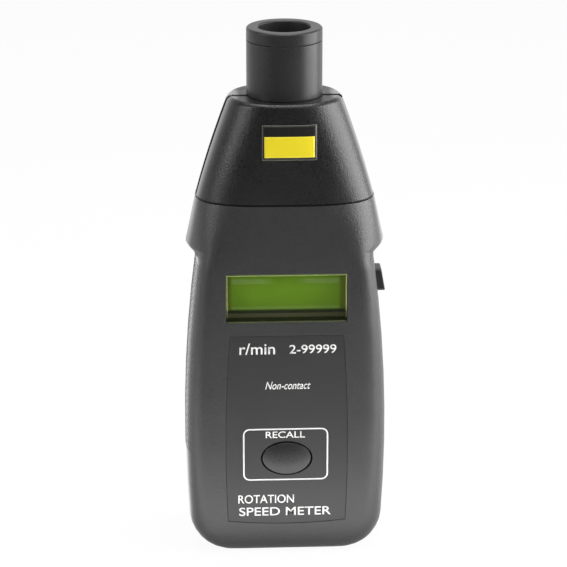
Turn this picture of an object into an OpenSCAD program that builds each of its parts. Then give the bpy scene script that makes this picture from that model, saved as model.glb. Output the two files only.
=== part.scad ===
// Hand-held laser tachometer, standing on its base: +Z runs from the base to the nose, the
// display faces -Y and the measuring button is on the +X side. Millimetres.

/* [Case] */
// Length of the body from its base to the seam under the head
body_length = 130.7; // [128:0.1:136]
// Length of the head from the seam to its flat top
head_length = 35.6; // [34:0.1:39]
// Depth of the case from the front face to the back face
case_depth = 37; // [36.6:0.1:39]
// Wall thickness of the case mouldings
wall = 2.2; // [1.9:0.1:2.4]
// Gap along the parting line and the head seam
seam_gap = 0.3; // [0.1:0.05:0.5]
// Clearance round a piece that sits in an opening
fit_gap = 0.25; // [0.15:0.05:0.35]
// Depth at which the front and rear mouldings part
parting_y = -2; // [-2.2:0.1:-1.6]
// Squareness of the handle's section, 2 for an ellipse
handle_power = 3.8; // [3.2:0.1:4.2]

/* [Handle] */
// Width of the handle where it is widest
handle_width = 72; // [71.6:0.1:75]
// Height at which the handle is widest
handle_widest_z = 42; // [38:1:46]
// Radius of the bowed side of the handle
side_radius = 469; // [440:1:600]
// Width of a lower corner's rounding, seen from the front
corner_width = 14; // [11:0.5:16]
// Height of a lower corner's rounding, seen from the front
corner_height = 12; // [9:0.5:13]
// Radius of the edge round the base
foot_radius = 5.2; // [4:0.1:6.5]
// Half width of the flat part of the front face
front_flat = 22; // [21.9:0.1:22.6]
// Width of the rounded corners of the back
rear_corner = 5.6; // [5:0.1:5.9]

/* [Shoulder and head] */
// Length over which the front and back lean in below the seam
lean_length = 24; // [23:0.5:26]
// Length of the shoulder from the neck to the seam
shoulder_length = 21.3; // [20.5:0.1:22]
// Length of the undercut from the neck to the shoulder's tip
undercut_length = 4.2; // [3.6:0.2:5]
// Depth from the middle of the side over which the shoulder flares out
flare_depth = 17; // [15:0.5:17.5]
// Width of the shoulder at its tip
shoulder_width = 70.2; // [69.2:0.1:71]
// How much narrower the body is at the seam than at the shoulder's tip
shoulder_taper = 7.4; // [6.6:0.1:7.8]
// Depth of the body at the seam
seam_depth = 35.2; // [35:0.1:36]
// Half width of the flat part of the front at the seam
seam_flat = 6; // [4:0.5:8]
// Step from the body's skin in to the head's skin at the seam
seam_step = 0.15; // [0.1:0.05:0.5]
// Width of the head at its top
head_top_width = 39.4; // [38.6:0.1:42]
// Depth of the head at its top
head_top_depth = 32.8; // [32.4:0.1:34]
// Bulge of the head's sides beyond a straight taper
head_bulge = 0.5; // [0.2:0.1:1]
// Radius of the edge round the head's top
head_edge_radius = 1.4; // [0.8:0.1:1.8]
// Length of the skirt by which the head plugs into the body
skirt_length = 4; // [3:0.2:5]

/* [Nose] */
// Length of the nose beyond the head
nose_length = 23.7; // [21:0.1:28]
// Outer diameter of the nose
nose_diameter = 26.3; // [25.8:0.1:27]
// Diameter of the bore that the beam leaves by
nose_bore = 18; // [17:0.1:18.4]
// Height of the end ring
ring_height = 4.3; // [3.4:0.1:6]
// Thickness of the objective lens at its rim
lens_rim = 1.6; // [1.2:0.1:2]
// Depth of the lens rim below the end of the nose
lens_depth = 12; // [10:0.5:13]

/* [Display and label] */
// Width of the display opening
display_width = 42.5; // [40:0.1:42.8]
// Height of the display opening
display_height = 17.9; // [16.5:0.1:18.4]
// Distance down to the display opening from where the front leans in
display_drop = 0.3; // [0.2:0.1:1.5]
// Largest width of the label
label_width = 43.3; // [41:0.1:43.3]
// Height of the label's lower edge
label_bottom_z = 11.7; // [9:0.1:14]
// Distance from the display opening down to the label
label_drop = 4.9; // [3.6:0.1:7]
// Thickness of the label
label_thickness = 0.4; // [0.3:0.05:0.6]
// Clearance round the label in its recess
label_gap = 0.1; // [0.05:0.05:0.25]

/* [Buttons] */
// Width of the oval memory button
memory_width = 18; // [16:0.1:20]
// Height of the oval memory button
memory_height = 12.5; // [11:0.1:14]
// Height of the memory button's centre above the base
memory_z = 37.1; // [35:0.1:42]
// How far the memory button stands out of the front face
memory_proud = 1.3; // [1:0.1:1.8]
// Travel of the memory button
memory_travel = 0.8; // [0.5:0.1:0.9]
// Side of the square measuring button
measure_size = 8; // [7.2:0.1:8.4]
// Distance of the measuring button's centre below the neck
measure_drop = 9.9; // [9.6:0.1:11]
// How far the measuring button stands out of the side
measure_proud = 2.4; // [2:0.1:2.8]
// Travel of the measuring button
measure_travel = 1; // [0.7:0.1:1.1]

/* [Batteries] */
// Diameter of a cell
cell_diameter = 14.2; // [13.8:0.1:14.3]
// Length of a cell with its terminal
cell_length = 50.5; // [49.2:0.1:50.6]
// Room for a contact at each end of a cell
contact_room = 3; // [2.6:0.1:3.4]
// Height of the battery pocket's lower end above the base
pocket_z = 14.2; // [13.8:0.1:16]
// Thickness of the battery pocket's walls
pocket_wall = 1.4; // [1.1:0.1:1.6]
// Radius of the door's hinge pins
hinge_pin_radius = 0.9; // [0.7:0.05:1]

/* [Boards and screws] */
// Thickness of the circuit boards
board_thickness = 1.6; // [1.2:0.1:1.8]
// Width of the main board
board_width = 49; // [48.4:0.1:49.4]
// Height of a switch body
switch_height = 3.2; // [2.8:0.1:3.4]
// Side of a switch body
switch_side = 6; // [5.6:0.1:6.4]
// Radius of a case screw's shank
screw_radius = 1.4; // [1.2:0.1:1.5]
// Radius of a small screw's shank
small_screw_radius = 1.1; // [0.9:0.05:1.2]

/* [Hidden] */
$fn = 64;

// Overall heights and faces
lean_z = body_length - lean_length;
neck_z = body_length - shoulder_length;
seam_width = shoulder_width - shoulder_taper;
shoulder_z = neck_z + undercut_length;
head_base_z = body_length + seam_gap;
head_top_z = body_length + head_length;
nose_top_z = head_top_z + nose_length;
front_y = -case_depth / 2;
back_y = case_depth / 2;
overshoot = 1;

// Facets of the lofted mouldings
outer_steps = 12;
inner_steps = 8;
handle_steps = 7;
head_steps = 6;

// Outline of the case seen from the front: a bowed handle, an undercut and a tapered shoulder
tip_softness = 0.45;
function blend(a, b, share) = a + (b - a) * share;
function side_bow(z) = handle_width / 2 - side_radius
    + sqrt(pow(side_radius, 2) - pow(z - handle_widest_z, 2));
function undercut_line(z) = blend(side_bow(neck_z), shoulder_width / 2, (z - neck_z) / undercut_length);
function taper_line(z) = shoulder_width / 2
    - shoulder_taper / 2 * (z - shoulder_z) / (body_length - shoulder_z);
function soft_min(a, b, k) = -k * ln(exp(-a / k) + exp(-b / k));

// How far a rounded edge draws in at a height above its start
function edge_inset(height, width, rise) = height >= rise ? 0
    : width * (1 - sqrt(1 - pow(1 - max(height, 0) / rise, 2)));
function shoulder_share(z) = max(0, (z - lean_z) / lean_length);
function neck_share(z) = max(0, (z - neck_z) / shoulder_length);
function body_half_width(z) = z > neck_z ? blend(side_bow(neck_z), seam_width / 2, neck_share(z))
    : side_bow(z) - edge_inset(z, corner_width, corner_height);
function body_half_depth(z) = blend(case_depth, seam_depth, shoulder_share(z)) / 2
    - edge_inset(z, foot_radius, foot_radius);
function handle_flat(z, rear) = rear ? body_half_width(min(z, neck_z)) - rear_corner
    : front_flat - 0.6 * edge_inset(z, corner_width, corner_height);

// How far the shoulder flares out of that section: most at the middle of the side, and later towards
// the front and back, so that the undercut runs out there
function flare(z) = z <= neck_z ? 0
    : max(0, soft_min(undercut_line(z), taper_line(z), tip_softness) - body_half_width(z));
function flare_at(level, y) = let (share = pow(max(0, 1 - pow(y / flare_depth, 2)), 2))
    level[0] < shoulder_z ? max(0, level[5] - flare(shoulder_z) * (1 - share)) : level[5] * share;

// One level of a loft: height, half width, half width of the flat, half depth, power, flare.
// The handle's corners are squarer than the head's and change to them along the shoulder.
seam_power = 2.6;
function body_level(z, inset, rear) = [z, body_half_width(z) - inset,
    blend(handle_flat(z, rear), seam_flat, shoulder_share(z)), body_half_depth(z) - inset,
    blend(handle_power, seam_power, min(1, neck_share(z))), flare(z)];

head_top_flat = 2;
head_top_power = 2.15;
function head_level(z, inset) = let (share = (z - body_length) / head_length,
    swell = head_bulge * 4 * share * (1 - share),
    edge = edge_inset(head_top_z - z, head_edge_radius, head_edge_radius)) [z,
    blend(seam_width / 2 - seam_step, head_top_width / 2, share) + swell - edge - inset,
    blend(seam_flat, head_top_flat, share),
    blend(seam_depth / 2 - seam_step / 4, head_top_depth / 2, share) + swell / 2 - edge - inset,
    blend(seam_power, head_top_power, share), 0];

// Half width of a level at depth y
function level_side(level, y) = level[2] + flare_at(level, y)
    + (level[1] - level[2]) * pow(1 - pow(abs(y) / level[3], level[4]), 1 / level[4]);

// Half a section, from the right edge round the flat front to the left edge; its ends lie at depth end_y
function ring_point(level, side, angle, end_y) = let (p = 2 / level[4],
    y = -level[3] * pow(sin(angle), p),
    x = level[2] + (level[1] - level[2]) * pow(cos(angle), p) + flare_at(level, y))
    [side * x, angle == 0 ? end_y : y, level[0]];
function half_ring(level, steps, end_y) = concat(
    [for (k = [0:steps]) ring_point(level, 1, 90 * k / steps, end_y)],
    [for (k = [steps:-1:0]) ring_point(level, -1, 90 * k / steps, end_y)]);

// Solid through the levels of the front half, closed by a flat face at depth end_y
module half_loft(levels, steps, end_y) {
    n = 2 * steps + 2;
    last = len(levels) - 1;
    points = [for (level = levels) each half_ring(level, steps, end_y)];
    sides = [for (i = [0:last - 1], k = [0:n - 1])
        let (low = i * n + k, next = i * n + (k + 1) % n)
        each [[next + n, low + n, low], [next + n, low, next]]];
    bottom = [for (k = [n - 1:-1:0]) k];
    top = [for (k = [0:n - 1]) last * n + k];
    polyhedron(points, concat(sides, [bottom, top]));
}

// The same on either side of the parting plane; grow moves the flat face past that plane
module moulded_half(levels, steps, rear, grow) {
    if (rear) mirror([0, 1, 0]) half_loft(levels, steps, -parting_y + grow);
    else half_loft(levels, steps, parting_y + grow);
}

// Heights of the rings of the body and the head
foot_heights = [for (k = [0:5]) foot_radius * (1 - cos(18 * k))];
corner_heights = [for (k = [1:3]) blend(foot_radius, corner_height, k / 3)];
handle_heights = [for (k = [1:handle_steps]) blend(corner_height, lean_z, k / handle_steps)];
undercut_shares = [0, 0.2, 0.4, 0.6, 0.8, 0.9, 1, 1.1, 1.25, 1.5, 2, 3.2];
undercut_heights = [for (share = undercut_shares) neck_z + share * undercut_length];
body_heights = concat(foot_heights, corner_heights, handle_heights, undercut_heights, [body_length]);
head_taper_heights = [for (k = [0:head_steps])
    blend(head_base_z, head_top_z - head_edge_radius, k / head_steps)];
head_edge_heights = [for (k = [1:4]) head_top_z - head_edge_radius * (1 - sin(22.5 * k))];
head_heights = concat(head_taper_heights, head_edge_heights);

module body_solid(rear) {
    moulded_half([for (z = body_heights) body_level(z, 0, rear)], outer_steps, rear, -seam_gap / 2);
}

// The hollow of one half of the body, open at the parting plane and at the seam
module body_hollow(rear) {
    heights = concat([wall, blend(wall, foot_radius, 0.4), foot_radius, corner_height],
        [for (k = [1:4]) blend(corner_height, lean_z, k / 4)],
        [for (share = [0, 0.5, 0.8, 1, 1.3, 2]) neck_z + share * undercut_length]);
    rim = body_level(body_length, wall, rear);
    top = [body_length + overshoot, rim[1], rim[2], rim[3], rim[4], 0];
    levels = concat([for (z = heights) body_level(z, wall, rear)], [rim, top]);
    moulded_half(levels, inner_steps, rear, overshoot);
}

// The skirt under the head fits the body's mouth
skirt_wall = 1.5;
skirt_top_z = body_length + 2;
plate_thickness = 2.5;
function skirt_level(z, inset) = let (mouth = body_level(body_length, wall + fit_gap + inset, false))
    [z, mouth[1], mouth[2], mouth[3], mouth[4], 0];

module head_solid(rear) {
    moulded_half([for (z = head_heights) head_level(z, 0)], outer_steps, rear, -seam_gap / 2);
}

module head_skirt(rear) {
    heights = [body_length - skirt_length, skirt_top_z];
    moulded_half([for (z = heights) skirt_level(z, 0)], inner_steps, rear, -seam_gap / 2);
}

module head_hollow(rear) {
    heights = [for (k = [0:3]) blend(skirt_top_z + 1, head_top_z - plate_thickness, k / 3)];
    skirt_heights = [body_length - skirt_length - overshoot, skirt_top_z];
    skirt_levels = [for (z = skirt_heights) skirt_level(z, skirt_wall)];
    head_levels = [for (z = heights) head_level(z, wall)];
    moulded_half(concat(skirt_levels, head_levels), inner_steps, rear, overshoot);
}

// Extrusions and cylinders along X and Y
module along_y(y0, y1) {
    translate([0, y1, 0]) rotate([90, 0, 0]) linear_extrude(height = y1 - y0) children();
}

module along_x(x0, x1) {
    translate([x0, 0, 0]) rotate([90, 0, 90]) linear_extrude(height = x1 - x0) children();
}

module y_cylinder(point, r, y0, y1) {
    translate([point[0], y1, point[1]]) rotate([90, 0, 0]) cylinder(r = r, h = y1 - y0);
}

module x_cylinder(y, z, r, x0, x1) {
    translate([x0, y, z]) rotate([0, 90, 0]) cylinder(r = r, h = x1 - x0);
}

module box(low, high) {
    translate(low) cube(high - low);
}

module rounded_rect(width, height, r) {
    square([width, height - 2 * r], center = true);
    square([width - 2 * r, height], center = true);
    for (sx = [-1, 1], sy = [-1, 1])
        translate([sx * (width / 2 - r), sy * (height / 2 - r)]) circle(r = r);
}

module oval(width, height) {
    polygon([for (k = [0:47]) [width / 2 * cos(7.5 * k), height / 2 * sin(7.5 * k)]]);
}

// Display stack from the front face inwards
display_z = lean_z - display_drop - display_height / 2;
display_half = display_height / 2;
window_flange = 1.5;
window_flange_y = front_y + wall + 0.1;
window_back_y = window_flange_y + 1.2;
glass_y = window_back_y + 0.2;
strip_y = glass_y + 2.6;
board_y = strip_y + 2.4;
board_back_y = board_y + board_thickness;
glass_width = display_width + 2;
glass_height = display_height + 2.6;
holder_wall = 1.4;

// Label outline: bowed sides, a bowed lower edge and a straight top
label_top_z = display_z - display_half - label_drop;
label_bow_z = 40;
label_bow_radius = 560;
label_foot_bow = 190;
label_bow_facets = 720;
module label_outline(grow) {
    half = label_width / 2 + grow;
    intersection() {
        intersection_for (side = [-1, 1]) translate([side * (half - label_bow_radius), label_bow_z])
            circle(r = label_bow_radius, $fn = label_bow_facets);
        translate([0, label_bottom_z - grow + label_foot_bow])
            circle(r = label_foot_bow, $fn = label_bow_facets);
        translate([-half, label_bottom_z - grow])
            square([2 * half, label_top_z - label_bottom_z + 2 * grow]);
    }
}

// Buttons and their switches
plunger_radius = 1.7;
plunger_gap = 0.06;
plunger_reach = 1.2;
plunger_depth = 1.6;
memory_flange = 1.4;
memory_flange_y = front_y + wall + 0.15;
memory_back_y = memory_flange_y + 1.1;
memory_switch_y = board_y - switch_height;
memory_plunger_y = memory_switch_y - plunger_reach;
measure_z = neck_z - measure_drop;
measure_flange = 1;
measure_seat_x = level_side(body_level(measure_z + measure_size / 2 + measure_flange, wall, false),
    parting_y - measure_size / 2 - measure_flange) - fit_gap;
measure_back_x = measure_seat_x - 1;
measure_switch_x = board_width / 2 - 0.3;
measure_outer_x = body_half_width(measure_z) + measure_proud;
measure_lean = 0.09 * measure_size;

// Battery pocket in the back, and the door over it
cell_pitch = cell_diameter + 0.2;
cell_y = back_y - wall - 0.4 - cell_diameter / 2;
pocket_half = 1.5 * cell_pitch + cell_diameter / 2 + 0.8;
pocket_floor_y = cell_y - cell_diameter / 2 - 0.3;
pocket_top_z = pocket_z + cell_length + 2 * contact_room;
bead_radius = 1.6;
hinge_y = back_y - bead_radius;
hinge_z = pocket_z - 0.2;
hinge_gap = 0.05;
door_gap = 0.3;
door_half = pocket_half - door_gap;
door_top_z = pocket_top_z + 1.8;
door_bottom_z = hinge_z - bead_radius;
pin_reach = 1.7;
lug_depth = 3;

// Screw points seen from the front: x, z
case_screw_x = 26;
case_screw_heights = [pocket_top_z + 11.3, lean_z + 11.3];
case_points = [for (side = [-1, 1], z = case_screw_heights) [side * case_screw_x, z]];
board_points = [for (side = [-1, 1], z = [27, lean_z + 7.6]) [side * 19, z]];
head_points = [for (side = [-1, 1]) [side * 17, body_length + 17.3]];
optics_points = [for (side = [-1, 1]) [side * 12.5, body_length + 9]];
boss_radius = 2.7;
column_radius = 3.9;
screw_seat_y = back_y - 7.5;
screw_tip_y = -9;
screw_head_radius = 1.9 * screw_radius;
screw_head_height = 1.2 * screw_radius;
small_head_radius = 1.9 * small_screw_radius;
small_head_height = 1.1 * small_screw_radius;
small_screw_length = 4;
head_seat_y = head_top_depth / 2 - 6;
pilot_gap = 0.05;

// Places of the parts on the main board
chip_z = (pocket_top_z + display_z - display_half) / 2 - 11;
side_parts_x = 14;

// Optics under the nose
nose_flange = 0.7;
flange_top_z = head_top_z - plate_thickness - 0.2;
tube_bottom_z = flange_top_z - 2;
spigot_radius = nose_diameter / 2 - 1.95;
lens_z = nose_top_z - lens_depth - lens_rim;
lens_radius = nose_bore / 2 + 2;
holder_z = body_length + 5.3;
holder_top_z = tube_bottom_z - 4;
beam_x = 4.4;
laser_radius = 3;
sensor_radius = 2.5;
optics_ear_y = 3;

case_grey = [0.25, 0.25, 0.255];
head_grey = [0.21, 0.21, 0.215];
nose_black = [0.16, 0.16, 0.165];
label_grey = [0.27, 0.27, 0.28];
board_green = [0.1, 0.32, 0.16];
steel = [0.72, 0.72, 0.74];
chip_black = [0.1, 0.1, 0.11];
cell_colour = [0.3, 0.42, 0.5];

module measure_opening() {
    along_x(front_flat, handle_width) translate([parting_y, measure_z])
        rounded_rect(measure_size + 2 * fit_gap, measure_size + 2 * fit_gap, 1.2);
}

module front_shell() {
    color(case_grey) difference() {
        union() {
            difference() {
                body_solid(false);
                body_hollow(false);
            }
            intersection() {
                body_solid(false);
                union() {
                    for (p = case_points) y_cylinder(p, boss_radius, front_y, 0);
                    for (p = board_points) y_cylinder(p, boss_radius, front_y, board_y);
                }
            }
        }
        along_y(front_y - overshoot, window_flange_y) translate([0, display_z])
            square([display_width, display_height], center = true);
        along_y(front_y - overshoot, front_y + label_thickness + 0.1) label_outline(label_gap);
        along_y(front_y, memory_flange_y) translate([0, memory_z])
            oval(memory_width + 2 * fit_gap, memory_height + 2 * fit_gap);
        measure_opening();
        for (p = case_points) y_cylinder(p, screw_radius + pilot_gap, screw_tip_y - 1, 0);
        for (p = board_points) y_cylinder(p, small_screw_radius + pilot_gap, board_y - 5, 0);
    }
}

module rear_shell() {
    pocket_outer = pocket_half + pocket_wall;
    color(case_grey) difference() {
        union() {
            difference() {
                body_solid(true);
                body_hollow(true);
            }
            intersection() {
                body_solid(true);
                union() {
                    for (p = case_points) y_cylinder(p, column_radius, parting_y, back_y);
                    box([-pocket_outer, pocket_floor_y - pocket_wall, pocket_z - pocket_wall],
                        [pocket_outer, back_y, pocket_top_z + pocket_wall]);
                    for (x = [-pocket_half - lug_depth, pocket_half])
                        box([x, hinge_y - 3, hinge_z - 2.4], [x + lug_depth, back_y, hinge_z + 2.4]);
                }
            }
        }
        box([-pocket_half, pocket_floor_y, pocket_z], [pocket_half, back_y, pocket_top_z]);
        box([-pocket_half, hinge_y - bead_radius - door_gap, door_bottom_z - door_gap],
            [pocket_half, back_y + overshoot, door_top_z + door_gap]);
        for (side = [-1, 1]) x_cylinder(hinge_y, hinge_z, hinge_pin_radius + hinge_gap,
            side * pocket_half - pin_reach, side * pocket_half + pin_reach);
        measure_opening();
        for (p = case_points) {
            y_cylinder(p, screw_radius + 0.2, parting_y - overshoot, back_y);
            y_cylinder(p, screw_head_radius + 0.25, screw_seat_y, back_y + overshoot);
        }
    }
}

module head_front() {
    color(head_grey) difference() {
        union() {
            difference() {
                union() {
                    head_solid(false);
                    head_skirt(false);
                }
                head_hollow(false);
            }
            intersection() {
                head_solid(false);
                for (p = head_points) y_cylinder(p, boss_radius, front_y, 0);
            }
        }
        cylinder(r = spigot_radius + 0.2, h = head_top_z + overshoot);
        for (p = head_points) y_cylinder(p, screw_radius + pilot_gap, screw_tip_y - 1, 0);
    }
}

module head_rear() {
    color(head_grey) difference() {
        union() {
            difference() {
                union() {
                    head_solid(true);
                    head_skirt(true);
                }
                head_hollow(true);
            }
            intersection() {
                head_solid(true);
                union() {
                    for (p = head_points) y_cylinder(p, column_radius, parting_y, back_y);
                    for (p = optics_points) y_cylinder(p, boss_radius, optics_ear_y, back_y);
                }
            }
        }
        translate([0, 0, tube_bottom_z]) cylinder(r = spigot_radius + 0.2, h = head_length);
        for (p = head_points) {
            y_cylinder(p, screw_radius + 0.2, parting_y - overshoot, back_y);
            y_cylinder(p, screw_head_radius + 0.25, head_seat_y, back_y + overshoot);
        }
        for (p = optics_points)
            y_cylinder(p, small_screw_radius + pilot_gap, optics_ear_y - overshoot, optics_ear_y + 5);
    }
}

// The nose tube is held by the head's top plate in the groove between its sleeve and its flange
module nose_tube() {
    outer = nose_diameter / 2;
    seat = lens_radius + 0.1;
    groove_top_z = head_top_z + 0.1;
    sleeve_top_z = nose_top_z - ring_height - 0.15;
    flange = outer + nose_flange;
    color(nose_black) rotate_extrude() polygon([[nose_bore / 2, tube_bottom_z], [flange, tube_bottom_z],
        [flange, flange_top_z], [spigot_radius, flange_top_z], [spigot_radius, groove_top_z],
        [outer, groove_top_z], [outer, sleeve_top_z], [seat, sleeve_top_z], [seat, lens_z],
        [nose_bore / 2, lens_z]]);
}

// The end ring's skirt reaches down to the lens and keeps it on its seat
module nose_ring() {
    outer = nose_diameter / 2;
    skirt = lens_radius;
    ring_z = nose_top_z - ring_height;
    edge = 0.5;
    skirt_z = lens_z + lens_rim;
    color(nose_black) rotate_extrude() polygon([[nose_bore / 2, skirt_z], [skirt, skirt_z],
        [skirt, ring_z], [outer, ring_z], [outer, nose_top_z - edge], [outer - edge, nose_top_z],
        [nose_bore / 2, nose_top_z]]);
}

// The lens is flat above and swells down into the tube
module objective_lens() {
    swell = 1.4;
    face = nose_bore / 2 - 0.3;
    radius = (pow(face, 2) + pow(swell, 2)) / (2 * swell);
    color([0.75, 0.82, 0.88, 0.6]) translate([0, 0, lens_z]) {
        cylinder(r = lens_radius, h = lens_rim);
        intersection() {
            translate([0, 0, radius - swell]) sphere(r = radius);
            translate([0, 0, -2 * swell]) cylinder(r = face, h = 2 * swell + lens_rim / 2);
        }
    }
}

module display_window() {
    color([0.8, 0.86, 0.8, 0.5]) translate([0, 0, display_z]) {
        along_y(front_y + 0.1, window_flange_y + 0.1)
            square([display_width - 2 * fit_gap, display_height - 2 * fit_gap], center = true);
        along_y(window_flange_y, window_back_y)
            square([display_width + 2 * window_flange, display_height + 2 * window_flange], center = true);
    }
}

module display_glass() {
    color([0.36, 0.48, 0.14]) translate([0, 0, display_z]) along_y(glass_y, strip_y)
        square([glass_width, glass_height], center = true);
}

// The holder stands on the main board round the glass
module display_holder() {
    color([0.85, 0.85, 0.82]) translate([0, 0, display_z]) along_y(glass_y + 0.3, board_y) difference() {
        square([glass_width + 2 * holder_wall, glass_height + 2 * holder_wall], center = true);
        square([glass_width + 2 * fit_gap, glass_height + 2 * fit_gap], center = true);
    }
}

module contact_strips() {
    color([0.85, 0.5, 0.55]) for (side = [-1, 1])
        translate([0, 0, display_z + side * (glass_height / 2 - 1.4)]) along_y(strip_y, board_y)
            square([glass_width - 2, 2], center = true);
}

module label_plate() {
    color(label_grey) along_y(front_y + 0.1, front_y + 0.1 + label_thickness) difference() {
        label_outline(0);
        translate([0, memory_z]) oval(memory_width + 2 * fit_gap, memory_height + 2 * fit_gap);
    }
}

module memory_button() {
    half = memory_width / 2;
    dome = 1.7;
    radius = (pow(half, 2) + pow(dome, 2)) / (2 * dome);
    color(case_grey) translate([0, 0, memory_z]) {
        intersection() {
            along_y(front_y - memory_proud - 1, memory_flange_y + 0.1) oval(memory_width, memory_height);
            translate([0, front_y - memory_proud + radius, 0]) sphere(r = radius);
        }
        along_y(memory_flange_y, memory_back_y)
            oval(memory_width + 2 * memory_flange, memory_height + 2 * memory_flange);
        y_cylinder([0, 0], plunger_radius + 0.8, memory_back_y - 0.2, memory_plunger_y);
    }
}

module memory_switch() {
    color(chip_black) translate([0, 0, memory_z]) difference() {
        along_y(memory_switch_y, board_y) square(switch_side, center = true);
        y_cylinder([0, 0], plunger_radius + plunger_gap, memory_switch_y - overshoot,
            memory_switch_y + plunger_depth + memory_travel);
    }
}

module memory_plunger() {
    color([0.75, 0.75, 0.7])
        y_cylinder([0, memory_z], plunger_radius, memory_plunger_y, memory_switch_y + plunger_depth - 0.3);
}

// The outer face of the measuring button leans with the side of the handle
module measure_button() {
    half = measure_size / 2;
    flange_side = measure_size + 2 * measure_flange;
    color(case_grey) {
        intersection() {
            along_x(measure_back_x, handle_width) translate([parting_y, measure_z])
                rounded_rect(measure_size, measure_size, 1);
            along_y(front_y, back_y) polygon([[measure_back_x, measure_z - half],
                [measure_outer_x + measure_lean, measure_z - half],
                [measure_outer_x - measure_lean, measure_z + half], [measure_back_x, measure_z + half]]);
        }
        along_x(measure_back_x, measure_seat_x) translate([parting_y, measure_z])
            square(flange_side, center = true);
    }
}

// The measuring switch stands on the main board and faces the side
module measure_switch() {
    color(chip_black) difference() {
        box([measure_switch_x - switch_height, board_back_y, measure_z - switch_side / 2],
            [measure_switch_x, parting_y + switch_side / 2, measure_z + switch_side / 2]);
        x_cylinder(parting_y, measure_z, plunger_radius + plunger_gap,
            measure_switch_x - plunger_depth - measure_travel, measure_switch_x + overshoot);
    }
}

module measure_plunger() {
    color([0.75, 0.75, 0.7])
        x_cylinder(parting_y, measure_z, plunger_radius, measure_switch_x - plunger_depth + 0.3,
            measure_back_x);
}

module main_board() {
    low_z = 21;
    high_z = lean_z + 13;
    color(board_green) along_y(board_y, board_back_y) difference() {
        translate([-board_width / 2, low_z]) square([board_width, high_z - low_z]);
        for (p = case_points) translate(p) circle(r = boss_radius + 0.6);
        for (p = board_points) translate(p) circle(r = small_screw_radius + 0.15);
    }
}

module processor_chip() {
    chip_side = 12;
    chip_thickness = 1.6;
    color(chip_black) translate([0, 0, chip_z]) along_y(board_back_y, board_back_y + chip_thickness)
        square(chip_side, center = true);
}

module timing_crystal() {
    can = [4.6, 11];
    can_height = 3.4;
    color(steel) translate([-side_parts_x, 0, chip_z - 4]) along_y(board_back_y, board_back_y + can_height)
        rounded_rect(can[0], can[1], can[0] / 2 - 0.1);
}

module capacitor() {
    can_radius = 3;
    can_height = 6;
    color([0.2, 0.25, 0.4])
        y_cylinder([side_parts_x, chip_z + 18], can_radius, board_back_y, board_back_y + can_height);
}

module optics_holder() {
    ear_half = 3.2;
    wide = 9.6;
    deep = 7.4;
    ear = optics_points[1];
    color(nose_black) difference() {
        union() {
            box([-wide, -deep, holder_z], [wide, deep, holder_top_z]);
            translate([0, 0, holder_top_z - 1])
                cylinder(r = nose_bore / 2 - 0.2, h = tube_bottom_z - holder_top_z + 3);
            box([-ear[0] - ear_half, optics_ear_y - 2, ear[1] - ear_half],
                [ear[0] + ear_half, optics_ear_y, ear[1] + ear_half]);
        }
        translate([-beam_x, 0, holder_z - overshoot])
            cylinder(r = laser_radius + pilot_gap, h = head_length);
        translate([beam_x, 0, holder_z - overshoot])
            cylinder(r = sensor_radius + pilot_gap, h = head_length);
        for (p = optics_points)
            y_cylinder(p, small_screw_radius + 0.15, optics_ear_y - 3, optics_ear_y + overshoot);
    }
}

module laser_module() {
    body = 15;
    color([0.78, 0.6, 0.28]) translate([-beam_x, 0, holder_z]) difference() {
        cylinder(r = laser_radius, h = body);
        translate([0, 0, body - 1]) cylinder(r = laser_radius / 2, h = 2);
    }
}

module photo_sensor() {
    body = 7;
    color([0.12, 0.1, 0.12]) translate([beam_x, 0, holder_z]) {
        cylinder(r = sensor_radius, h = body);
        translate([0, 0, body]) sphere(r = sensor_radius);
    }
}

module sensor_board() {
    color(board_green) box([-9, -6.5, holder_z - board_thickness], [9, 6.5, holder_z]);
}

module battery_door() {
    ridge_half = 7;
    rib_half = 20;
    color(case_grey) difference() {
        union() {
            box([-door_half, back_y - wall, hinge_z], [door_half, back_y, door_top_z]);
            x_cylinder(hinge_y, hinge_z, bead_radius, -door_half, door_half);
            x_cylinder(hinge_y, hinge_z, hinge_pin_radius, -door_half - pin_reach, door_half + pin_reach);
            box([-rib_half, back_y - wall - 1.2, pocket_top_z - 1.7],
                [rib_half, back_y - wall + 0.1, pocket_top_z - 0.5]);
        }
        for (k = [0:4]) box([-ridge_half, back_y - 0.6, door_top_z - 4 - 2 * k],
            [ridge_half, back_y + overshoot, door_top_z - 3 - 2 * k]);
    }
}

// Cell number index, counted from the left; every second one stands on its head
module battery_cell(index) {
    r = cell_diameter / 2;
    nub_radius = 2.7;
    nub = 1.2;
    bevel = 0.5;
    can = cell_length - nub;
    flipped = index % 2 == 0;
    foot_z = pocket_z + contact_room + (flipped ? cell_length : 0);
    color(cell_colour) translate([(index - 2.5) * cell_pitch, cell_y, foot_z])
        rotate([flipped ? 180 : 0, 0, 0]) rotate_extrude() polygon([[0, 0], [r - bevel, 0], [r, bevel],
            [r, can - bevel], [r - bevel, can], [nub_radius, can], [nub_radius, cell_length],
            [0, cell_length]]);
}

// Folded leaf contacts under the cells from first to last, drawn at the lower end of the pocket
module leaf_contact(first, last) {
    sheet = 0.4;
    reach = contact_room - 0.12;
    leaf_half = 4;
    strip = [cell_y - 5, cell_y + 4.4];
    for (index = [first:last]) translate([(index - 2.5) * cell_pitch, 0, pocket_z])
        along_x(-leaf_half, leaf_half)
            polygon([[strip[0], 0], [strip[1], 0], [strip[1], sheet], [strip[0] + 1, sheet],
                [cell_y, reach - sheet], [cell_y + 3.2, reach - 1.4], [cell_y + 3.2, reach - 0.9],
                [cell_y, reach], [strip[0], sheet]]);
    if (last > first) box([(first - 2.5) * cell_pitch, strip[1] - 3, pocket_z],
        [(last - 2.5) * cell_pitch, strip[1], pocket_z + sheet]);
}

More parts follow.
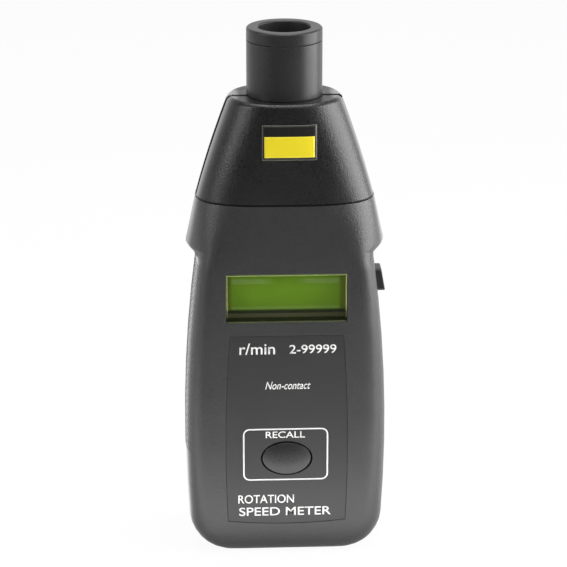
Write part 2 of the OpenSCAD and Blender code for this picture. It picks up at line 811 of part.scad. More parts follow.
module lower_contacts() {
    color(steel) {
        leaf_contact(1, 2);
        leaf_contact(3, 4);
    }
}

module upper_contacts() {
    color(steel) translate([0, 0, pocket_z + pocket_top_z]) mirror([0, 0, 1]) {
        leaf_contact(1, 1);
        leaf_contact(2, 3);
        leaf_contact(4, 4);
    }
}

// A screw along Y whose head seats at seat_y and whose tip lies at tip_y
module screw(point, seat_y, tip_y, shank, head, head_height) {
    outward = sign(seat_y - tip_y);
    y_cylinder(point, shank, min(seat_y, tip_y), max(seat_y, tip_y));
    top_y = seat_y + outward * head_height;
    y_cylinder(point, head, min(seat_y, top_y), max(seat_y, top_y));
}

module case_screws() {
    color(steel) for (p = case_points)
        screw(p, screw_seat_y, screw_tip_y, screw_radius, screw_head_radius, screw_head_height);
}

module head_screws() {
    color(steel) for (p = head_points)
        screw(p, head_seat_y, screw_tip_y, screw_radius, screw_head_radius, screw_head_height);
}

module board_screws() {
    color(steel) for (p = board_points)
        screw(p, board_back_y, board_y - small_screw_length, small_screw_radius, small_head_radius,
            small_head_height);
}

module optics_screws() {
    color(steel) for (p = optics_points)
        screw(p, optics_ear_y - 2, optics_ear_y + small_screw_length, small_screw_radius, small_head_radius,
            small_head_height);
}

front_shell();
rear_shell();
head_front();
head_rear();
nose_tube();
nose_ring();
objective_lens();
display_window();
display_glass();
display_holder();
contact_strips();
label_plate();
memory_button();
memory_switch();
memory_plunger();
measure_button();
measure_switch();
measure_plunger();
main_board();
processor_chip();
timing_crystal();
capacitor();
optics_holder();
laser_module();
photo_sensor();
sensor_board();
battery_door();
battery_cell(1);  // battery_cell_1
battery_cell(2);  // battery_cell_2
battery_cell(3);  // battery_cell_3
battery_cell(4);  // battery_cell_4
lower_contacts();
upper_contacts();
case_screws();
head_screws();
board_screws();
optics_screws();
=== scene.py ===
# %% [markdown]
# # A hand-held laser tachometer
# The real object is a moulded plastic case with a necked handle, a tapered head and a turned nose.
# The CAD model fixes every size, so this lesson loads it as a frame and dresses it. The mouldings get
# soft edges and a grained finish, and the grip's dots, the glass, the screws and the print are added.

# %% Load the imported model
import math

import bmesh
import bpy
from mathutils import Matrix, Vector
from mathutils.bvhtree import BVHTree


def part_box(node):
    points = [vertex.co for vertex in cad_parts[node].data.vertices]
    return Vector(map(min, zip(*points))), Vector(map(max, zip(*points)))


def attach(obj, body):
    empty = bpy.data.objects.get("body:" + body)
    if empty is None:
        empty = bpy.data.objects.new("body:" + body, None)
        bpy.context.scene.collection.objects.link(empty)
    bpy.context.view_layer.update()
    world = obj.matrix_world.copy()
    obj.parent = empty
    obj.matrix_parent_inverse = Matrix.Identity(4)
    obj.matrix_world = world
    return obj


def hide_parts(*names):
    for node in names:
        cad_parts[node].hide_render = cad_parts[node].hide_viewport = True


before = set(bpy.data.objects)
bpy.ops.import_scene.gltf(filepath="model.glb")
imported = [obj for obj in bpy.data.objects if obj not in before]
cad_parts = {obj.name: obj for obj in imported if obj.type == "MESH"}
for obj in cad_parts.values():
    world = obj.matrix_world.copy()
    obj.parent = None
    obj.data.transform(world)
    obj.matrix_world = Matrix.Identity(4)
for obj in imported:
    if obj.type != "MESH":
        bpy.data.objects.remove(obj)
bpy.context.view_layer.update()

MM = 0.001

# %% [markdown]
# ## The camera
# The photograph was taken from in front, from a little above and through a long lens. A camera can be
# set by eye, but here its angle, distance and focal length were solved from the outline of the case,
# so that the render and the photograph can be laid over each other.

# %% Place the camera
IMAGE_SIDE = 567
FOCAL_PIXELS = 2244
FRAMING_DROP, FRAMING_RIGHT = 4.6, 0.8
CAMERA_DISTANCE = 800 * MM
azimuth, elevation = math.radians(-2.7), math.radians(19.1)
aim = Vector((0, 0, 95 * MM))
level_reach = math.cos(elevation)
away = Vector((math.sin(azimuth) * level_reach, -math.cos(azimuth) * level_reach, math.sin(elevation)))

lens = bpy.data.cameras.new("camera")
lens.sensor_width = 36
lens.lens = lens.sensor_width * FOCAL_PIXELS / IMAGE_SIDE
lens.shift_x = -FRAMING_RIGHT / IMAGE_SIDE
lens.shift_y = FRAMING_DROP / IMAGE_SIDE
camera = bpy.data.objects.new("camera", lens)
camera.location = aim + away * CAMERA_DISTANCE
camera.rotation_euler = away.to_track_quat("Z", "Y").to_euler()
bpy.context.collection.objects.link(camera)
bpy.context.scene.camera = camera
print("camera lens in mm:", round(lens.lens, 1))

# %% [markdown]
# ## Finishes written as sums
# A finish is a tree of nodes. Wiring nodes by hand soon hides the idea behind them, so one small class
# wraps a socket and lets it be added, multiplied and compared like a number. A second class adds any
# other node in one call and feeds the main shader.

# %% A socket that takes part in arithmetic
class Signal:
    """A value in a node tree that can be used like a number."""

    def __init__(self, finish, socket):
        self.finish = finish
        self.socket = socket

    def math(self, operation, *values):
        sockets = dict(enumerate((self, *values)))
        return self.finish.node("ShaderNodeMath", {"operation": operation}, sockets)

    def __add__(self, other):
        return self.math("ADD", other)

    def __mul__(self, other):
        return self.math("MULTIPLY", other)

    def __sub__(self, other):
        return self.math("SUBTRACT", other)

    def __rsub__(self, other):
        return self * -1 + other

    def __abs__(self):
        return self.math("ABSOLUTE")

    __radd__ = __add__
    __rmul__ = __mul__

    def rise(self, low, high):
        """0 below low, 1 above high and a smooth step between them."""
        limits = {0: self, 1: low, 2: high}
        return self.finish.node("ShaderNodeMapRange", {"interpolation_type": "SMOOTHSTEP"}, limits)

    def between(self, low, high, soft):
        """1 from low to high, fading over the distance soft at either end."""
        return self.rise(low - soft / 2, low + soft / 2) * (1 - self.rise(high - soft / 2, high + soft / 2))


print("arithmetic on sockets is ready")

# %% A finish and its nodes
class Finish:
    """A material or world whose nodes are added one call at a time."""

    def __init__(self, owner, constants=None):
        self.owner = owner
        owner.use_nodes = True
        self.nodes = owner.node_tree.nodes
        self.links = owner.node_tree.links
        self.shader = self.nodes.get("Principled BSDF")
        for name, value in (constants or {}).items():
            self.shader.inputs[name].default_value = value

    def node(self, kind, settings=None, sockets=None, output=0):
        made = self.nodes.new(kind)
        for name, value in (settings or {}).items():
            setattr(made, name, value)
        for key, value in (sockets or {}).items():
            if isinstance(value, Signal):
                self.links.new(value.socket, made.inputs[key])
            else:
                made.inputs[key].default_value = value
        return Signal(self, made.outputs[output])

    def mix(self, first, second, share):
        return self.node("ShaderNodeMix", {"data_type": "RGBA"}, {0: share, 6: first, 7: second}, 2)

    def place(self):
        return self.node("ShaderNodeTexCoord", output="Object")

    def axes(self):
        place = self.place()
        return [self.node("ShaderNodeSeparateXYZ", None, {0: place}, axis) for axis in "XYZ"]

    def noise(self, size, detail=2, roughness=0.5):
        sockets = {"Vector": self.place(), "Scale": 1 / size, "Detail": detail, "Roughness": roughness}
        return self.node("ShaderNodeTexNoise", None, sockets)

    def feed(self, name, signal):
        self.links.new(signal.socket, self.shader.inputs[name])

    def bump(self, height, depth):
        self.feed("Normal", self.node("ShaderNodeBump", None, {"Height": height, "Distance": depth}))


def new_finish(name, constants=None):
    return Finish(bpy.data.materials.new(name), constants)


def paint(red, green, blue):
    """A colour as it shows on a screen, from 0 to 255, turned into the light that it gives back."""
    shares = [value / 255 for value in (red, green, blue)]
    return (*[s / 12.92 if s < 0.04 else ((s + 0.055) / 1.055) ** 2.4 for s in shares], 1)


def grey(level):
    return paint(level, level, level + 1)


print("mid grey gives back", round(grey(128)[0], 3))

# %% [markdown]
# ## Grained black plastic
# The case is moulded in a spark-eroded tool, which leaves a fine matt grain. A grain can be modelled,
# but at half a millimetre it is bump. Slow changes of roughness stand for handling, and the head, the
# label and the nose are the same idea with other numbers. The grip on the left side and a band along
# each side are polished by the hand, so there the grain fades out.

# %% Moulded plastics
def moulded_plastic(name, dark, light, gloss, depth, grain=0.5 * MM, shine=0.5, polished=None):
    finish = new_finish(name, {"IOR": 1.5, "Specular IOR Level": shine, "Coat Roughness": 0.12})
    sparks = finish.noise(grain, 3, 0.65).rise(0.2, 0.8)
    handling = finish.noise(14 * MM, 3)
    finish.feed("Base Color", finish.mix(dark, light, sparks * 0.55 + handling * 0.45))
    matt = 1
    if polished:
        polish = polished(finish)
        matt = 1 - polish
        finish.feed("Coat Weight", polish)
    finish.feed("Roughness", (sparks * 0.16 + handling * 0.14 + (gloss - 0.29)) * matt + 0.14)
    finish.bump(sparks * matt, depth)
    return finish.owner


GRIP_HALF, BAND_HALF = 12.5 * MM, 6.5 * MM


def case_sides(finish):
    """1 along both sides, in a band that is wider on the left of the handle."""
    across, depth, height = finish.axes()
    grip = depth.between(-GRIP_HALF, GRIP_HALF, 7 * MM) * (1 - height.rise(108 * MM, 112 * MM))
    band = depth.between(-BAND_HALF, BAND_HALF, 6 * MM)
    polish = band.math("MAXIMUM", grip * (1 - across.rise(-1 * MM, 1 * MM)))
    return abs(across).rise(27 * MM, 30 * MM) * polish


def head_sides(finish):
    across, depth, _ = finish.axes()
    return abs(across).rise(15 * MM, 18 * MM) * depth.between(-BAND_HALF, BAND_HALF, 6 * MM)


case_plastic = moulded_plastic("case_plastic", grey(47), grey(63), 0.36, 0.05 * MM, 0.7 * MM,
                               polished=case_sides)
head_plastic = moulded_plastic("head_plastic", grey(24), grey(40), 0.32, 0.05 * MM, 0.7 * MM,
                               polished=head_sides)
# painted shadow: a near-black finish for the strips that stand for the shade in the head's seams
painted_seam_shadow = moulded_plastic("painted_seam_shadow", grey(2), grey(6), 0.5, 0.01 * MM, shine=0.1)
nose_plastic = moulded_plastic("nose_plastic", grey(46), grey(58), 0.34, 0.008 * MM, shine=0.3)
label_film = moulded_plastic("label_film", grey(41), grey(53), 0.4, 0.012 * MM, 0.2 * MM)
button_plastic = moulded_plastic("button_plastic", grey(32), grey(46), 0.32, 0.015 * MM)
print("plastics:", len(bpy.data.materials))

# %% [markdown]
# ## The mouldings
# The two case halves, the two head halves, the door, the buttons and the label have their form in the
# CAD model, but with sharp edges. They could be modelled again, at the risk of a misfit. Instead each
# mesh is copied and merged, its flat triangles are joined, and a Bevel rounds the edges that turn sharply.

# %% Helpers for pieces
def shown(name, bm, material, body, replaced=()):
    mesh = bpy.data.meshes.new(name)
    bm.to_mesh(mesh)
    bm.free()
    carried = mesh.attributes.get("custom_normal")
    if carried:
        mesh.attributes.remove(carried)
    mesh.materials.clear()
    mesh.materials.append(material)
    mesh.shade_smooth()
    piece = bpy.data.objects.new(name, mesh)
    bpy.context.collection.objects.link(piece)
    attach(piece, body)
    if replaced:
        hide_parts(*replaced)
    print(name, "has", len(mesh.polygons), "faces")
    return piece


def merged(node):
    bm = bmesh.new()
    bm.from_mesh(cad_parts[node].data)
    bmesh.ops.remove_doubles(bm, verts=bm.verts, dist=0.002 * MM)
    bmesh.ops.dissolve_limit(bm, angle_limit=math.radians(0.2), verts=bm.verts, edges=bm.edges)
    bmesh.ops.dissolve_degenerate(bm, dist=0.06 * MM, edges=bm.edges)
    return bm


def soften(piece, edge, turn=34, clamp=False):
    rounding = piece.modifiers.new("soft edges", "BEVEL")
    rounding.width = edge
    rounding.segments = 2
    rounding.limit_method = "ANGLE"
    rounding.angle_limit = math.radians(turn)
    rounding.use_clamp_overlap = clamp
    piece.modifiers.new("even shading", "WEIGHTED_NORMAL").keep_sharp = True


def moulding(node, material, body, edge, clamp=False, bm=None):
    piece = shown(node + "_moulding", bm or merged(node), material, body, [node])
    soften(piece, edge, clamp=clamp)


# %% Mould the case, the head, the door and the label
moulding("front_shell", case_plastic, "case", 0.18 * MM)
moulding("rear_shell", case_plastic, "case", 0.18 * MM)
moulding("head_front", head_plastic, "case", 0.3 * MM, clamp=True)
moulding("head_rear", head_plastic, "case", 0.2 * MM)
moulding("battery_door", case_plastic, "door", 0.3 * MM)
moulding("label_plate", label_film, "case", 0.08 * MM, clamp=True)
moulding("measure_button", button_plastic, "measure", 0.4 * MM)

# %% Draw in the memory button's cap, so that the gap round it shows as a dark line
CAP_SHRINK = (0.967, 1, 0.955)
FLANGE_FRONT_Y, CAP_MIDDLE_Z = -16.3 * MM, 37.1 * MM
cap = merged("memory_button")
cap_verts = [vert for vert in cap.verts if vert.co.y < FLANGE_FRONT_Y]
bmesh.ops.scale(cap, vec=CAP_SHRINK, space=Matrix.Translation((0, 0, -CAP_MIDDLE_Z)), verts=cap_verts)
moulding("memory_button", button_plastic, "memory", 0.25 * MM, clamp=True, bm=cap)

# %% [markdown]
# ## The lines between the mouldings
# The halves of a moulded case meet with a tongue in a groove, so that no light passes the line between
# them. The CAD halves have flat edges and a fine gap. A narrow strip inside the thickness of the walls
# stands for the tongue: rays from the side find the skin, and the strip follows a millimetre below it.
# In the same way the rear half of the head gets its lip, a fine step on the left and on top. Near-black
# strips of painted shadow run along the parting line there and round the seam between the head and the case.

# %% Run the tongue up both sides and along the foot
def surface_of(*nodes):
    bm = bmesh.new()
    for node in nodes:
        bm.from_mesh(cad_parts[node].data)
    tree = BVHTree.FromBMesh(bm)
    bm.free()
    return tree


def outside_point(surface, middle, way):
    """Where a ray that comes in against way, towards middle, first meets the surface."""
    return surface.ray_cast(middle + way * FAR, -way)[0]


def ring(skin, way, side_way, corners):
    """Four corners round a point of the skin: a rise along way and a step along side_way, in mm."""
    return [skin + (way * rise + side_way * step) * MM for rise, step in corners]


def strip(bm, rings):
    """Join rings of four corners into a strip with closed ends, or into a loop."""
    rows = [[bm.verts.new(corner) for corner in ring] for ring in rings]
    for last, ring in zip(rows, rows[1:]):
        for i in range(4):
            bm.faces.new((last[i - 1], last[i], ring[i], ring[i - 1]))
    bmesh.ops.remove_doubles(bm, verts=bm.verts, dist=0.001 * MM)
    bmesh.ops.holes_fill(bm, edges=bm.edges)
    bmesh.ops.recalc_face_normals(bm, faces=bm.faces)


FAR = 60 * MM
PARTING_Y = -2 * MM
BACKWARD, UPWARD = Vector((0, 1, 0)), Vector((0, 0, 1))
TONGUE = ((-0.9, 0), (-0.9, 1.2), (-1.4, 1.2), (-1.4, 0))
TONGUE_RUNS = ((-1, 2.6, 130), (1, 2.6, 92), (1, 107.5, 130), (-1, 133, 161), (1, 133, 161))
FOOT_CENTRE_Z = 12 * MM
tongue_front = PARTING_Y - 0.6 * MM
case_skin = surface_of("front_shell", "head_front")
tongue = bmesh.new()
for side, low, high in TONGUE_RUNS:
    rings = []
    way = Vector((side, 0, 0))
    for step in range(41):
        height = (low + (high - low) * step / 40) * MM
        skin = outside_point(case_skin, Vector((0, tongue_front, height)), way)
        rings.append(ring(skin, way, BACKWARD, TONGUE))
    strip(tongue, rings)
rings = []
for step in range(61):
    turn = math.radians(195 + 150 * step / 60)
    way = Vector((math.cos(turn), 0, math.sin(turn)))
    skin = outside_point(case_skin, Vector((0, tongue_front, FOOT_CENTRE_Z)), way)
    rings.append(ring(skin, way, BACKWARD, TONGUE))
strip(tongue, rings)
shown("parting_tongue", tongue, head_plastic, "case")

# %% Step the head's rear half, and paint the shadow of its parting line and of the seam below it
head_skin = surface_of("head_front", "head_rear")
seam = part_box("front_shell")[1].z
print("seam below the head at", round(seam / MM, 2), "mm")
LIP = ((-0.3, 0.1), (0.25, 0.1), (0.35, 1.1), (-0.3, 1.1))
PARTING_SHADOW = ((-0.3, -0.05), (0.25, -0.05), (0.25, 0.09), (-0.3, 0.09))
LIP_STARTS, LIP_END = ((-1, -18.6), (1, 50)), 63
SEAM_SHADOW = ((-0.4, -0.65), (0.08, -0.65), (0.03, 0), (-0.4, 0))
head_middle = Vector((0, PARTING_Y - 0.3 * MM, seam + 11 * MM))
# painted shadow: thin near-black strips along the head's parting line, where the groove's shade falls
lip, painted_shadow_lines = bmesh.new(), bmesh.new()
for side, start in LIP_STARTS:
    lip_rings, shadow_rings = [], []
    for step in range(37):
        turn = math.radians(start + (LIP_END - start) * step / 36)
        way = Vector((side * math.cos(turn), 0, math.sin(turn)))
        skin = outside_point(head_skin, head_middle, way)
        lip_rings.append(ring(skin, way, BACKWARD, LIP))
        shadow_rings.append(ring(skin, way, BACKWARD, PARTING_SHADOW))
    strip(lip, lip_rings)
    strip(painted_shadow_lines, shadow_rings)
shown("head_lip", lip, head_plastic, "case")

# painted shadow: a near-black ring round the seam between the head and the case
rings = []
for step in range(181):
    turn = math.radians(2 * step)
    way = Vector((math.cos(turn), math.sin(turn), 0))
    skin = outside_point(head_skin, Vector((0, 0, seam + 0.6 * MM)), way)
    rings.append(ring(skin, way, UPWARD, SEAM_SHADOW))
strip(painted_shadow_lines, rings)
shown("head_painted_shadow", painted_shadow_lines, painted_seam_shadow, "case")

# %% [markdown]
# ## The nose
# The nose tube and its end ring are turned from one round section. A stack of cylinders would do, but
# a section that is spun once round the axis gives the groove, the seat and the chamfers together.

# %% Turn the tube and the ring
def turned(name, section, material, node):
    bm = bmesh.new()
    corners = [bm.verts.new((radius * MM, 0, height * MM)) for radius, height in section]
    rim = [bm.edges.new((corners[i - 1], corner)) for i, corner in enumerate(corners)]
    bmesh.ops.spin(bm, geom=corners + rim, cent=(0, 0, 0), axis=(0, 0, 1), angle=2 * math.pi, steps=128,
                   use_merge=True)
    bmesh.ops.remove_doubles(bm, verts=bm.verts, dist=0.001 * MM)
    bmesh.ops.recalc_face_normals(bm, faces=bm.faces)
    piece = shown(name, bm, material, "case", [node])
    soften(piece, 0.18 * MM, 40)


bore, sleeve, spigot, seat = 9, 13.15, 11.2, 11.1
turned("nose_sleeve", [(bore, 161.6), (13.85, 161.6), (13.85, 163.6), (spigot, 163.6), (spigot, 166.4),
                       (sleeve, 166.4), (sleeve, 185.55), (seat, 185.55), (seat, 176.4), (bore, 176.4)],
       nose_plastic, "nose_tube")
turned("nose_end_ring", [(bore, 178), (11, 178), (11, 185.7), (sleeve, 185.7), (sleeve, 189.5),
                         (sleeve - 0.5, 190), (bore + 0.4, 190), (bore, 189.6)],
       nose_plastic, "nose_ring")

# %% [markdown]
# ## Clear parts
# The display's window is clear acrylic, and the lens is coated glass. Bent light hardly shows through a
# thin flat window, but light has to reach the display behind it, so the window is mostly see-through by
# its alpha. A narrow rim along its cut edges is painted paler and denser, a painted highlight of the light
# that those edges gather. The lens does bend light, so it lets it through by transmission.

# %% Window and lens
def dress(node, material):
    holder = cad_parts[node]
    for slot in holder.material_slots:
        slot.link = "OBJECT"
        slot.material = material
    print(node, "wears", material.name)


def window_finish(name, rim):
    low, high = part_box("display_window")
    half = (high.x - low.x) / 2 - WINDOW_FLANGE
    foot, top = low.z + WINDOW_FLANGE, high.z - WINDOW_FLANGE
    finish = new_finish(name, {"IOR": 1.49})
    across, depth, height = finish.axes()
    # painted highlight: the window is paler and denser along its sides and top, and in a thin line along its
    # foot
    side_glint = abs(across).rise(half - rim - 0.1 * MM, half - rim + 0.1 * MM) * height.rise(foot, foot + 6 * MM)
    edge = side_glint.math("MAXIMUM", height.rise(top - rim - 0.1 * MM, top - rim + 0.1 * MM))
    lip = (1 - height.rise(foot + 0.15 * MM, foot + 0.25 * MM)) * (1 - depth.rise(low.y, low.y + 0.6 * MM))
    edge = edge.math("MAXIMUM", lip * 0.8)
    finish.feed("Base Color", finish.mix(paint(70, 84, 40), paint(176, 188, 124), edge))
    finish.feed("Alpha", edge * 0.55 + 0.1)
    finish.feed("Roughness", finish.noise(6 * MM, 4) * 0.1)
    return finish.owner


def lens_finish(name):
    finish = new_finish(name, {"Base Color": (0.9, 0.93, 0.98, 1), "IOR": 1.52, "Transmission Weight": 1})
    finish.feed("Roughness", finish.noise(6 * MM, 4) * 0.02)
    return finish.owner


WINDOW_FLANGE = 1.75 * MM
moulding("display_window", window_finish("clear_acrylic", 0.4 * MM), "case", 0.12 * MM)
dress("objective_lens", lens_finish("coated_glass"))

# %% [markdown]
# ## The display
# The liquid crystal cell shows a blank green field with an olive edge, where the back reflector ends,
# and a dark band with a paler stripe below it. It could be a few thin plates, but it is one sheet of
# glass, so one finish paints it by height and width.

# %% Paint the blank display
crystal = new_finish("liquid_crystal", {"IOR": 1.5, "Specular IOR Level": 0.25})
across, _, height = crystal.axes()
glow = crystal.noise(9 * MM, 2)
fibres = crystal.noise(0.12 * MM, 2, 0.7)
green = crystal.mix(paint(114, 160, 26), paint(126, 172, 40), glow * 0.6 + fibres * 0.4)
pale = height.between(101.8 * MM, 103.6 * MM, 0.6 * MM) * abs(across).rise(3 * MM, 9 * MM) * 0.7
pale_foot = height.between(92.6 * MM, 93.4 * MM, 0.5 * MM) * 0.6
lit_green = crystal.mix(green, paint(150, 184, 96), pale.math("MAXIMUM", pale_foot))
olive = crystal.mix(paint(100, 118, 24), paint(114, 132, 32), fibres)
field = crystal.mix(olive, lit_green, across.between(-19.3 * MM, 18.7 * MM, 1.4 * MM))
stripe = height.between(89.4 * MM, 90.9 * MM, 0.5 * MM)
band = crystal.mix(paint(38, 39, 30), paint(104, 100, 78), stripe)
crystal.feed("Base Color", crystal.mix(band, field, height.rise(91.9 * MM, 92.6 * MM)))
crystal.feed("Roughness", fibres * 0.1 + 0.3)
dress("display_glass", crystal.owner)

# %% [markdown]
# ## The dotted grip
# The left side of the handle is full of small low domes, which the fingers hold. A bump map would lose
# their outline along the edge of the case, so each is a dome set on the case: a ray cast from the left
# finds the skin and the way that it faces.

# %% Set the grip's dots
DOT_PITCH, DOT_RADIUS, DOT_HEIGHT = 1.5 * MM, 0.5 * MM, 0.1 * MM
grip_low, grip_high = Vector((0, -14.3 * MM, 38.9 * MM)), Vector((0, 14.3 * MM, 108.4 * MM))
side_surface = surface_of("front_shell", "rear_shell")
dots = bmesh.new()
row_step = DOT_PITCH * 0.866
rows = int((grip_high.z - grip_low.z) / row_step)
columns = int((grip_high.y - grip_low.y) / DOT_PITCH)
for row in range(rows + 1):
    for column in range(columns + 1):
        y = grip_low.y + (column + 0.5 * (row % 2)) * DOT_PITCH
        spot = Vector((-FAR, y, grip_low.z + row * row_step))
        hit, facing, _, _ = side_surface.ray_cast(spot, Vector((1, 0, 0)))
        if hit is None or y > grip_high.y or abs(y - PARTING_Y) < 0.6 * MM:
            continue
        stand = Matrix.Translation(hit) @ facing.to_track_quat("Z", "Y").to_matrix().to_4x4()
        flatten = Matrix.Diagonal((DOT_RADIUS, DOT_RADIUS, DOT_HEIGHT, 1))
        bmesh.ops.create_icosphere(dots, subdivisions=1, radius=1, matrix=stand @ flatten)
shown("grip_dots", dots, case_plastic, "case")

# %% [markdown]
# ## White print
# A thin frame stands round the memory button, and a few words say what the instrument does. Print
# could be painted in the label's finish, but lettering needs outlines, so text is made a mesh, scaled
# to the height of its capitals and laid on the label as a film a few hundredths of a millimetre thick.

# %% Print the button's frame
def ink(name, colour, worn):
    finish = new_finish(name, {"IOR": 1.5})
    speckle = finish.noise(0.15 * MM, 3, 0.7)
    finish.feed("Base Color", finish.mix(worn, colour, speckle.rise(0.25, 0.5)))
    finish.feed("Roughness", speckle * 0.2 + 0.4)
    return finish.owner


white_ink = ink("white_ink", paint(240, 240, 238), paint(214, 214, 212))
label_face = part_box("label_plate")[0].y
PRINT_LIFT = 0.03 * MM
upright = Matrix.Rotation(math.radians(90), 4, "X")


def rounded_panel(width, height, corner):
    bm = bmesh.new()
    bmesh.ops.create_grid(bm, x_segments=1, y_segments=1, size=0.5)
    bmesh.ops.scale(bm, vec=(width, height, 1), verts=bm.verts)
    bmesh.ops.bevel(bm, geom=bm.verts[:], offset=corner, offset_type="OFFSET", affect="VERTICES",
                    segments=6, profile=0.5, material=-1)
    return bm


def thicken(bm, thickness):
    grown = bmesh.ops.extrude_face_region(bm, geom=bm.faces[:])["geom"]
    raised = [item for item in grown if isinstance(item, bmesh.types.BMVert)]
    bmesh.ops.translate(bm, vec=(0, 0, thickness), verts=raised)
    bmesh.ops.recalc_face_normals(bm, faces=bm.faces)


line = rounded_panel(30.4 * MM, 20 * MM, 2.4 * MM)
bmesh.ops.inset_region(line, faces=line.faces[:], thickness=0.52 * MM, use_even_offset=True,
                       use_boundary=True)
middle_faces = [face for face in line.faces if all(not edge.is_boundary for edge in face.edges)]
bmesh.ops.delete(line, geom=middle_faces, context="FACES")
thicken(line, PRINT_LIFT)
bmesh.ops.transform(line, matrix=Matrix.Translation((-0.4 * MM, label_face, 38.6 * MM)) @ upright,
                    verts=line.verts)
shown("button_frame", line, white_ink, "case")

# %% Print the words
STROKE_GAIN = 0.008


def lettering(name, words, width, capital, middle_x, middle_z, material, slant=0):
    text = bpy.data.curves.new(name, "FONT")
    text.body = words
    text.align_x = "CENTER"
    text.shear = slant
    text.offset = STROKE_GAIN
    holder = bpy.data.objects.new(name, text)
    bpy.context.collection.objects.link(holder)
    outline = bpy.data.meshes.new_from_object(holder.evaluated_get(bpy.context.evaluated_depsgraph_get()))
    bpy.data.objects.remove(holder)
    bm = bmesh.new()
    bm.from_mesh(outline)
    thicken(bm, 1)
    spans = [[v.co[i] for v in bm.verts] for i in range(2)]
    middles = [(min(span) + max(span)) / 2 for span in spans]
    sizes = [max(span) - min(span) for span in spans]
    fit = Matrix.Diagonal((width / sizes[0], capital / sizes[1], PRINT_LIFT, 1))
    centre = Matrix.Translation((-middles[0], -middles[1], 0))
    lay = Matrix.Translation((middle_x, label_face, middle_z)) @ upright
    bmesh.ops.transform(bm, matrix=lay @ fit @ centre, verts=bm.verts)
    shown(name, bm, material, "case")


lettering("recall_legend", "RECALL", 14 * MM, 2.5 * MM, -0.5 * MM, 46.2 * MM, white_ink)
lettering("unit_print", "r/min", 12.5 * MM, 4.2 * MM, -10.4 * MM, 78.9 * MM, white_ink)
lettering("range_print", "2-99999", 16.5 * MM, 3.3 * MM, 9.2 * MM, 78.6 * MM, white_ink)
lettering("method_print", "Non-contact", 16 * MM, 2.9 * MM, 0.4 * MM, 65 * MM, white_ink, 0.3)
lettering("name_print_upper", "ROTATION", 20 * MM, 3.3 * MM, -7.4 * MM, 21.3 * MM, white_ink)
lettering("name_print_lower", "SPEED METER", 33 * MM, 3.3 * MM, -0.6 * MM, 16.4 * MM, white_ink)

# %% [markdown]
# ## The plate on the head
# A small plate of two colours is stuck on the front of the head. The head's front is round, so a flat
# plate would stand off at its sides. A fine grid is laid on the head instead: a ray from the front
# finds the skin under each of its points.

# %% Stick the plate on
yellow_ink = ink("yellow_ink", paint(255, 234, 36), paint(244, 220, 34))
black_ink = ink("black_ink", paint(16, 15, 10), paint(24, 23, 16))
border_ink = ink("border_ink", paint(96, 94, 78), paint(84, 82, 68))
head_surface = surface_of("head_front")


def stuck_on(name, width, height, middle_x, middle_z, lift, material):
    bm = bmesh.new()
    bmesh.ops.create_grid(bm, x_segments=28, y_segments=14, size=0.5)
    bmesh.ops.transform(bm, matrix=Matrix.Translation((middle_x, 0, middle_z)) @ upright
                        @ Matrix.Diagonal((width, height, 1, 1)), verts=bm.verts)
    for corner in bm.verts:
        hit, _, _, _ = head_surface.ray_cast(Vector((corner.co.x, -0.05, corner.co.z)), Vector((0, 1, 0)))
        corner.co.y = hit.y - lift
    skin = bmesh.ops.extrude_face_region(bm, geom=bm.faces[:])["geom"]
    buried = [item for item in skin if isinstance(item, bmesh.types.BMVert)]
    bmesh.ops.translate(bm, vec=(0, lift + 0.05 * MM, 0), verts=buried)
    bmesh.ops.recalc_face_normals(bm, faces=bm.faces)
    shown(name, bm, material, "case")


stuck_on("head_plate", 18.8 * MM, 12.3 * MM, 1 * MM, 153.2 * MM, 0.08 * MM, border_ink)
stuck_on("head_plate_ground", 18.4 * MM, 11.9 * MM, 1 * MM, 153.2 * MM, 0.1 * MM, black_ink)
stuck_on("head_plate_field", 17.2 * MM, 7.3 * MM, 1 * MM, 151.7 * MM, 0.12 * MM, yellow_ink)

# %% [markdown]
# ## Metals
# Screws, contacts and cans are plain metals. A metal is mostly reflection, so fine scratches in its
# roughness matter more than its colour.

# %% Metal finishes
def metal(name, colour, shade, gloss):
    finish = new_finish(name, {"Metallic": 1})
    tarnish = finish.noise(2.5 * MM, 4)
    scratches = finish.noise(0.2 * MM, 2, 0.7)
    finish.feed("Base Color", finish.mix(shade, colour, tarnish))
    finish.feed("Roughness", scratches * 0.2 + (gloss - 0.1))
    finish.bump(scratches, 0.004 * MM)
    return finish.owner


steel = metal("zinc_steel", paint(196, 196, 198), paint(168, 168, 172), 0.36)
brass = metal("brass", paint(214, 178, 106), paint(180, 142, 80), 0.3)
print("metals:", steel.name, brass.name)

# %% [markdown]
# ## Screws with a cross recess
# Four screws close the case and two close the head. In the CAD model they are plain pan heads. The
# recess could be a dark print, but seen from the back it catches light, so a tapered cross is cut out
# of a copy of each head with a Boolean.

